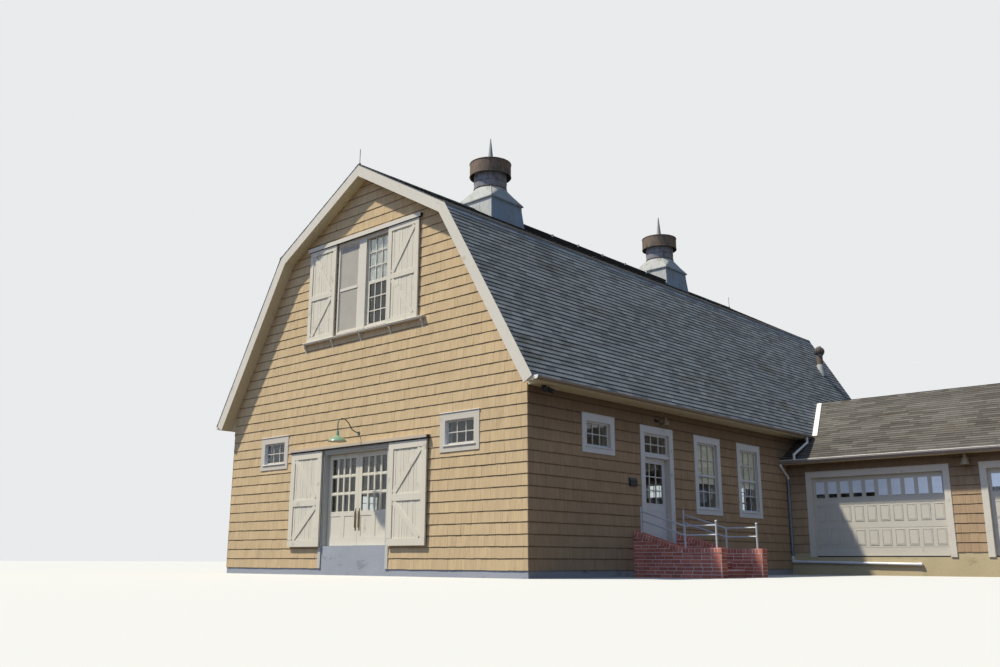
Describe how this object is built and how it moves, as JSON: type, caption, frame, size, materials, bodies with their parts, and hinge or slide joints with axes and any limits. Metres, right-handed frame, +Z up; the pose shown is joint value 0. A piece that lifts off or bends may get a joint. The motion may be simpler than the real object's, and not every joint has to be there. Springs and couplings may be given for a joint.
{
  "type": "gambrel barn",
  "caption": "Long gambrel-roofed shingled barn with ridge ventilators, sliding and glazed doors, loft shutters, a brick entry stair and a low garage wing.",
  "frame": {"origin": "middle of the barn's underside, under the crossing of its width and length, on the mount rest_face", "axes": "+Z up, +X to the side with the garage wing and the brick stair, -Y to the front gable with the big doorway"},
  "size_m": [20.6, 18.8949, 12.2],
  "materials": {
    "concrete": "rough cast concrete",
    "floor_boards": "sawn boards",
    "shingles": "weathered tan shingles",
    "roof_shingles": "mineral felt shingles, blue-grey",
    "wing_shingles": "mineral felt shingles, brown-grey",
    "trim": "weathered off-white paint",
    "door_paint": "weathered off-white paint",
    "sheet_metal": "weathered galvanised sheet",
    "rusty_band": "rust-brown sheet",
    "dark_modules": "dark glazed modules in a thin frame",
    "glass": "clear panes",
    "brick": "dark red brick with pale mortar",
    "white_pipe": "white painted pipe",
    "lamp_green": "green enamel, worn",
    "wing_concrete": "cast concrete, yellowish",
    "garage_paint": "pale grey paint",
    "gutter_metal": "off-white paint"
  },
  "bodies": {
    "building": {"foundation": "concrete", "ground_floor": "floor_boards", "loft_floor": "floor_boards", "door_sills": "concrete", "front_wall_left": "shingles", "front_wall_right": "shingles", "front_gable": "shingles", "left_wall": "shingles", "right_wall_front": "shingles", "right_wall_over_door": "shingles", "right_wall_back": "shingles", "back_wall": "shingles", "roof_lower_left": "roof_shingles", "roof_lower_right": "roof_shingles", "roof_upper_left": "roof_shingles", "roof_upper_right": "roof_shingles", "rake_boards": "trim", "ventilator_bases": "sheet_metal", "ventilator_bands": "rusty_band", "solar_panels": "dark_modules", "chimney_stack": "rusty_band", "door_track": "trim", "front_door_frame": "trim", "side_door_frame": "trim", "window_frames": "trim", "window_glass": "glass", "loft_window_frame": "trim", "loft_shutters": "door_paint", "loft_shelf": "trim", "entry_steps": "brick", "stair_walls": "brick", "stair_rails": "white_pipe", "door_lamp": "lamp_green", "wall_lamps": "sheet_metal", "wing_foundation": "wing_concrete", "wing_front_wall": "shingles", "wing_end_wall": "shingles", "wing_back_wall": "shingles", "wing_roof_front": "wing_shingles", "wing_roof_back": "wing_shingles", "garage_door_frames": "trim", "garage_doors": "garage_paint", "gutters": "gutter_metal", "downpipes": "gutter_metal"},
    "front_slider_left": {"sliding_door_left": "door_paint"},
    "front_slider_right": {"sliding_door_right": "door_paint"},
    "glazed_leaf_left": {"glazed_door_left": "door_paint", "glazed_door_left_glass": "glass"},
    "glazed_leaf_right": {"glazed_door_right": "door_paint", "glazed_door_right_glass": "glass"},
    "side_leaf": {"side_door": "door_paint", "side_door_glass": "glass"}
  },
  "joints": [
    {"name": "slide_left", "type": "slide", "parent": "building", "child": "front_slider_left", "axis": [1, 0, 0], "range_m": [0, 1.167]},
    {"name": "slide_right", "type": "slide", "parent": "building", "child": "front_slider_right", "axis": [-1, 0, 0], "range_m": [0, 1.247]},
    {"name": "glazed_left", "type": "hinge", "parent": "building", "child": "glazed_leaf_left", "pos_m": [-1.19, -8.611, 0.66], "axis": [0, 0, 1], "range_deg": [0, 95]},
    {"name": "glazed_right", "type": "hinge", "parent": "building", "child": "glazed_leaf_right", "pos_m": [1.03, -8.611, 0.66], "axis": [0, 0, 1], "range_deg": [-95, 0]},
    {"name": "side_door_hinge", "type": "hinge", "parent": "building", "child": "side_leaf", "pos_m": [4.986, -3.745, 0.66], "axis": [0, 0, 1], "range_deg": [-95, 0]}
  ]
}
